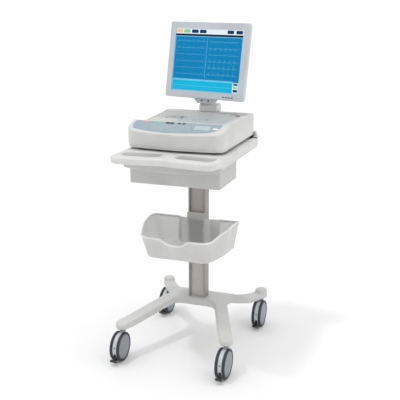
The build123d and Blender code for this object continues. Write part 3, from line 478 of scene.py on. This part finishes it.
def drawer_edges(e):
    """The bowed front's lower outer edge."""
    middle = middle_of(e)
    bowed = middle.y < front_high.y - 0.01
    return is_level(e) and abs(middle.z - front_low.z) < LEVEL and bowed


rounded_copy("drawer_front", 0.007, drawer_edges)


# ---- bin's rolled rim ------------------------------------------------------------------
BIN_MIDDLE_Y = COLUMN_Y - 0.15
# the rim lies above this height, faces up at least this much, and its walls lean at most this much
RIM_LOWEST_Z = 0.50
RIM_UPWARD = 0.55
WALL_LEAN = 0.45
# the bead stops at the hook, which is this wide to each side and reaches this far forward
HOOK_HALF_X = 0.105
HOOK_FRONT_Y = COLUMN_Y - 0.06
# the bead's radius, and how far its middle lies in from the rim's edge and below it
BEAD_RADIUS = 0.0042
BEAD_INWARD = 0.0015
BEAD_DROP = 0.001


def rim_line():
    """The outer edge of the bin's rim, in order, from one side of the hook to the other."""
    shape = cleaned("storage_bin")
    nexts = {}
    for e in shape.edges:
        if len(e.link_faces) != 2:
            continue
        flat, wall = sorted(e.link_faces, key=lambda f: -f.normal.z)
        middle = middle_of(e)
        outward = Vector((middle.x, middle.y - BIN_MIDDLE_Y, 0))
        at_hook = abs(middle.x) < HOOK_HALF_X and middle.y > HOOK_FRONT_Y
        if flat.normal.z < RIM_UPWARD or abs(wall.normal.z) > WALL_LEAN or middle.z < RIM_LOWEST_Z:
            continue
        if wall.normal.dot(outward) < 0 or at_hook:
            continue
        one, two = (tuple(round(c, 6) for c in v.co) for v in e.verts)
        nexts.setdefault(one, set()).add(two)
        nexts.setdefault(two, set()).add(one)
    shape.free()
    ends = sorted(p for p, held in nexts.items() if len(held) == 1)
    best = []
    for start in ends or sorted(nexts)[:1]:
        line, seen = [start], {start}
        while True:
            ways = [p for p in nexts[line[-1]] if p not in seen]
            if not ways:
                break
            line.append(ways[0])
            seen.add(ways[0])
        if len(line) > len(best):
            best = line
    return [Vector(p) for p in best]


rim = rim_line()
inward = [(Vector((0, BIN_MIDDLE_Y, p.z)) - p).normalized() * BEAD_INWARD for p in rim]
# the rim bead is the bin's own plastic painted much lighter than the bin: a painted highlight along the rim
rim_painted_highlight = finish_material("rim_painted_highlight", (0.80, 0.80, 0.79), 0.35)
bead = [p + i - Vector((0, 0, BEAD_DROP)) for p, i in zip(rim, inward)]
tube("bin_rim", bead, BEAD_RADIUS, "cart", rim_painted_highlight, "plastic_bin")


# ---- recorder --------------------------------------------------------------------------
RECORDER_MIDDLE_X = -0.0055
RECORDER_MIDDLE_Y = COLUMN_Y - 0.07
# the rounded edges lie above this height and outside this rectangle
RECORDER_EDGE_Z = 0.965
RECORDER_INNER_X = 0.16
RECORDER_INNER_Y = (COLUMN_Y - 0.24, COLUMN_Y + 0.14)
# a wall is at least this upright, and what it meets faces up at least this much
WALL_UPRIGHT = 0.2
TOP_UPWARD = 0.6


def edge_is_outer(middle, wall):
    """True when the wall faces away from the recorder's middle and lies on its outline."""
    away = Vector((middle.x, middle.y - RECORDER_MIDDLE_Y, 0))
    if wall.normal.dot(away) < 0:
        return False
    low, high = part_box("recorder_top")
    near_side = middle.x < low.x + 0.04 or middle.x > high.x - 0.04
    near_front = middle.y < low.y + 0.04 or middle.y > high.y - 0.01
    return near_side or near_front


def recorder_edges(e):
    """Where the recorder's outer walls meet its slope and its top."""
    middle = middle_of(e)
    if min(v.co.z for v in e.verts) < RECORDER_EDGE_Z:
        return False
    wall = min(e.link_faces, key=lambda f: abs(f.normal.z))
    top = max(e.link_faces, key=lambda f: f.normal.z)
    front, back = RECORDER_INNER_Y
    outside = abs(middle.x - RECORDER_MIDDLE_X) > RECORDER_INNER_X or middle.y < front or middle.y > back
    upright = abs(wall.normal.z) < WALL_UPRIGHT
    return upright and top.normal.z > TOP_UPWARD and outside and edge_is_outer(middle, wall)


rounded_copy("recorder_top", 0.006, recorder_edges)

# the keyboard panel's face: u to the right from its middle, v up the slope
slope = math.atan2(0.034, 0.084)
key_face = axes((0, COLUMN_Y - 0.247, 1.005), (1, 0, 0), (0, math.cos(slope), math.sin(slope)))
key_red = finish_material("key_red", (0.60, 0.28, 0.32), 0.35, grain_depth=0.02)
key_green = finish_material("key_green", (0.20, 0.48, 0.38), 0.35, grain_depth=0.02)
key_black = finish_material("key_black", (0.015, 0.02, 0.04), 0.3, grain_depth=0.02)
key_pale = finish_material("key_pale", (0.34, 0.43, 0.485), 0.35, grain_depth=0.02)
key_light = finish_material("key_light", (0.43, 0.52, 0.57), 0.3, grain_depth=0.02)
printed("red_key", [pill(-163, 29, -135, 40, 3)], key_face, 0, 0.5, "cart", key_red, "panel_blue")
printed("green_key", [pill(-118, 30, -80, 40, 3)], key_face, 0, 0.5, "cart", key_green, "panel_blue")
printed("function_keys", [pill(u, 28, u + 17, 41, 3) for u in (-63, -44)] +
        [pill(u, 28, u + 13, 41) for u in (-11, 9)], key_face, 0, 0.5, "cart", key_black, "panel_blue")
# rows of 13 keys, each row a little further right, and a short row at the front
FIRST_KEY = -118
KEY_PITCH = 13
KEY_WIDE = 10.5
KEY_DEEP = 7.5
ROW_SHIFT = 3
letter_keys = []
for row_number, v in enumerate((12, 2, -8, -18, -28)):
    for column_number in range(13):
        u = FIRST_KEY + row_number * ROW_SHIFT + column_number * KEY_PITCH
        if row_number == 4 and not 1 < column_number < 10:
            continue
        letter_keys.append(pill(u, v, u + KEY_WIDE, v + KEY_DEEP, 1.5, 2))
printed("letter_keys", letter_keys, key_face, 0, 0.4, "cart", key_pale, "panel_blue")
printed("mode_keys", [pill(u, 18, u + 16, 26, 2) for u in (-172, -150, -116, -94, -72)], key_face, 0, 0.4,
        "cart", key_pale, "panel_blue")
printed("touchpad_face", [pill(69, -6, 135, 24, 3)], key_face, 0.6, 0.8, "cart", key_light, "panel_blue")
printed("touchpad_buttons", [pill(70, -18, 100, -10, 2), pill(104, -16, 134, -8, 2)], key_face, 0, 0.5,
        "cart", key_pale, "panel_blue")

# the paper cover's face: u to the right from its middle, v towards the back
lid_tilt = math.atan2(-0.005, 0.3595)
lid_face = axes((0, COLUMN_Y - 0.205, 1.020), (1, 0, 0), (0, math.cos(lid_tilt), math.sin(lid_tilt)))
mark_grey = finish_material("mark_grey", (0.24, 0.27, 0.28), 0.5, grain_depth=0.02)
mark_pale = finish_material("mark_pale", (0.60, 0.60, 0.55), 0.45, grain_depth=0.02)
mark_dark = finish_material("mark_dark", (0.10, 0.115, 0.125), 0.5, grain_depth=0.02)
printed("cover_label", [pill(-158, 14, -42, 104, 4)], lid_face, 0.02, 0.10, "paper_door", mark_pale,
        "cover_grey")
printed("cover_guide", sketch_marks(-112, 104, 70, 66, 6), lid_face, 0.03, 0.16, "paper_door", mark_dark,
        "cover_grey")
printed("cover_second_guide", sketch_marks(18, 84, 62, 50, 3.5), lid_face, 0.03, 0.16, "paper_door",
        mark_grey, "cover_grey")
printed("lid_latch", [pill(152.5, 232, 173, 254, 4)], lid_face, 0, 3.2, "cart", materials["socket_black"],
        "socket_black")


# ---- screen ----------------------------------------------------------------------------
# at rest the monitor is turned about the post and leans back; u and v run from the middle of its face
POST_Y = COLUMN_Y + 0.150
FACE_FORWARD = 0.0341
FACE_HEIGHT = 1.2396
swing, lean = math.radians(-11.3), math.radians(10.55)
facing = Vector((math.sin(swing), -math.cos(swing), 0))
face_right = Vector((math.cos(swing), math.sin(swing), 0))
face_out = facing * math.cos(lean) + Vector((0, 0, math.sin(lean)))
face_up = face_out.cross(face_right)
face_middle = Vector((0, POST_Y, 0)) + facing * FACE_FORWARD + Vector((0, 0, FACE_HEIGHT))
screen_face = axes(face_middle, face_right, face_up)
# two thin layers between the panel and the back of the glass, in mm from the face
shown_low, shown_mid, shown_high = -4.385, -4.355, -4.325

screen_white = lit_material("screen_white", (0.82, 0.86, 0.90))
screen_black = lit_material("screen_black", (0.010, 0.015, 0.03))
screen_pale = lit_material("screen_pale", (0.20, 0.52, 0.72))
screen_trace = lit_material("screen_trace", (0.10, 0.40, 0.60))
screen_strip_line = lit_material("screen_strip_line", (0.002, 0.26, 0.48))
screen_cyan = lit_material("screen_cyan", (0.006, 0.50, 0.76))
screen_orange = lit_material("screen_orange", (0.92, 0.52, 0.28))
screen_green = lit_material("screen_green", (0.25, 0.62, 0.25))
screen_navy = lit_material("screen_navy", (0.004, 0.045, 0.13))


def shown(name, outlines, material, level=0):
    """Part of the picture on the display, between the panel and the glass."""
    low, high = ((shown_low, shown_mid), (shown_mid, shown_high))[level]
    return printed(name, outlines, screen_face, low, high, "monitor", material, "screen")


shown("screen_toolbar", [bar(-169, 113, 169, 135), bar(138, -131, 165, -88)], screen_white)
shown("screen_title", [bar(-169, 104, 169, 113)], screen_black)
shown("screen_lines", [bar(-169, 101, 169, 104), bar(-169, -89, 138, -82), bar(165, -131, 169, 101),
                       bar(-169, -135, 169, -131), bar(-169, -131, -166, -89), bar(-169, -80, -167, 101),
                       bar(-6, -76, -4.6, 98)], screen_pale)
shown("screen_strip", [bar(-166, -131, 138, -89)], screen_cyan)
shown("screen_orange_button", [pill(-166, 117, -134, 132, 4)], screen_orange, 1)
shown("screen_green_buttons", [pill(-129, 117, -97, 132, 4), pill(141, -112, 163, -103, 3)],
      screen_green, 1)
shown("screen_navy_buttons", [pill(-89, 117, -55, 132, 4), pill(-49, 117, -15, 132, 4),
                              pill(89, 117, 121, 132, 4), pill(132, 117, 164, 132, 4),
                              pill(141, -99, 163, -91, 3), pill(141, -127, 163, -116, 3)], screen_navy, 1)
BEAT_LENGTH = 24.5
TRACE_WIDTH = 1.3
# each row's level, and the height of the spikes in its left and right halves
trace_rows = ((82, 8, -7), (53, 9, -12), (25, 4, 5), (-4, 5, 12), (-32, 2, 16), (-60, 4, 13))
traces = []
for level, left_height, right_height in trace_rows:
    traces += ribbon(heartbeats(-160, -12, level, BEAT_LENGTH, left_height), TRACE_WIDTH)
    traces += ribbon(heartbeats(2, 156, level, BEAT_LENGTH, right_height), TRACE_WIDTH)
shown("screen_traces", traces, screen_trace)
dashes = [bar(u, v, u + 4.5, v + 3) for u in range(-162, 134, 8) for v in (-127, -117, -107, -97)]
shown("screen_dashes", dashes, screen_strip_line, 1)
shown("screen_rhythm", ribbon(heartbeats(-160, 130, -112, 29, 4), 1.0), screen_pale, 1)


# ---- monitor's trim --------------------------------------------------------------------
trim_dark = finish_material("trim_dark", (0.05, 0.055, 0.06), 0.4, grain_depth=0.02)
bezel_keys = [pill(u, -154, u + 9, -149, 2) for u in (96, 110, 124, 138)]
printed("bezel_buttons", bezel_keys, screen_face, -0.1, 0.35, "monitor", trim_dark, "bezel_silver")

# two screw heads on the front of the tilt bracket, set where a line from in front meets it
neck = nodes["tilt_bracket"].data
neck_corners = [v.co for v in neck.vertices]
neck_faces = [tuple(p.vertices) for p in neck.polygons]
neck_surface = BVHTree.FromPolygons(neck_corners, neck_faces)
neck_low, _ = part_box("tilt_bracket")
SCREW_ABOVE_LOWEST = 0.012
LINE_START = 0.25
screw_profile = ((-1, 0), (-1, 4), (0.6, 4), (1.1, 3), (1.1, 0))
for name, across in (("neck_screw_1", -0.020), ("neck_screw_2", 0.014)):
    start = Vector((0, POST_Y, neck_low.z + SCREW_ABOVE_LOWEST)) + face_right * across + facing * LINE_START
    place, outward, _, _ = neck_surface.ray_cast(start, -facing)
    lathe(name, screw_profile, place, outward, "monitor", trim_dark, slot_of["tilt_bracket"])


# ---- floor, light, camera --------------------------------------------------------------
def plane(name, size, z, material):
    """A level square about the origin."""
    mesh = bpy.data.meshes.new(name)
    half = size / 2
    corners = [(-half, -half, z), (half, -half, z), (half, half, z), (-half, half, z)]
    mesh.from_pydata(corners, [], [(0, 1, 2, 3)])
    mesh.materials.append(material)
    made = bpy.data.objects.new(name, mesh)
    bpy.context.scene.collection.objects.link(made)
    return made


floor_paint, _, floor_shader = new_material("floor_paint")
floor_shader.inputs["Base Color"].default_value = (0.88, 0.88, 0.88, 1)
floor_shader.inputs["Roughness"].default_value = 0.7
plane("floor", 800, 0, floor_paint)

# a white sky, brighter overhead than at the horizon
HORIZON_LIGHT = 0.42
OVERHEAD_LIGHT = 1.34

world = bpy.data.worlds.new("studio")
world.use_nodes = True
sky = world.node_tree
direction = sky.nodes.new("ShaderNodeTexCoord")
parts = sky.nodes.new("ShaderNodeSeparateXYZ")
sky.links.new(direction.outputs["Generated"], parts.inputs["Vector"])
brightness = spread(sky, parts.outputs["Z"], HORIZON_LIGHT, OVERHEAD_LIGHT)
sky.links.new(brightness, sky.nodes["Background"].inputs["Strength"])
sky.nodes["Background"].inputs["Color"].default_value = (1, 1, 1, 1)
bpy.context.scene.world = world
bpy.context.scene.view_settings.view_transform = "Standard"


def sun(name, towards, strength, spread_angle):
    """Light from far away, along a direction, softer with a wider spread."""
    data = bpy.data.lights.new(name, "SUN")
    data.energy = strength
    data.angle = math.radians(spread_angle)
    made = bpy.data.objects.new(name, data)
    made.rotation_euler = Vector(towards).to_track_quat("-Z", "Y").to_euler()
    made.location = -Vector(towards).normalized() * 4
    bpy.context.scene.collection.objects.link(made)


sun("key_light", (0.32, 0.22, -1.0), 0.50, 5)
sun("right_light", (-0.95, 0.10, -0.45), 0.30, 60)

# fitted to the photo
camera_data = bpy.data.cameras.new("camera")
camera_data.lens = 69.09
camera_data.sensor_width = 36
camera = bpy.data.objects.new("camera", camera_data)
camera.location = (1.1097, -2.96851, 1.5421)
camera.rotation_euler = (math.radians(90 - 15.42), 0, math.radians(19.827))
bpy.context.scene.collection.objects.link(camera)
bpy.context.scene.camera = camera
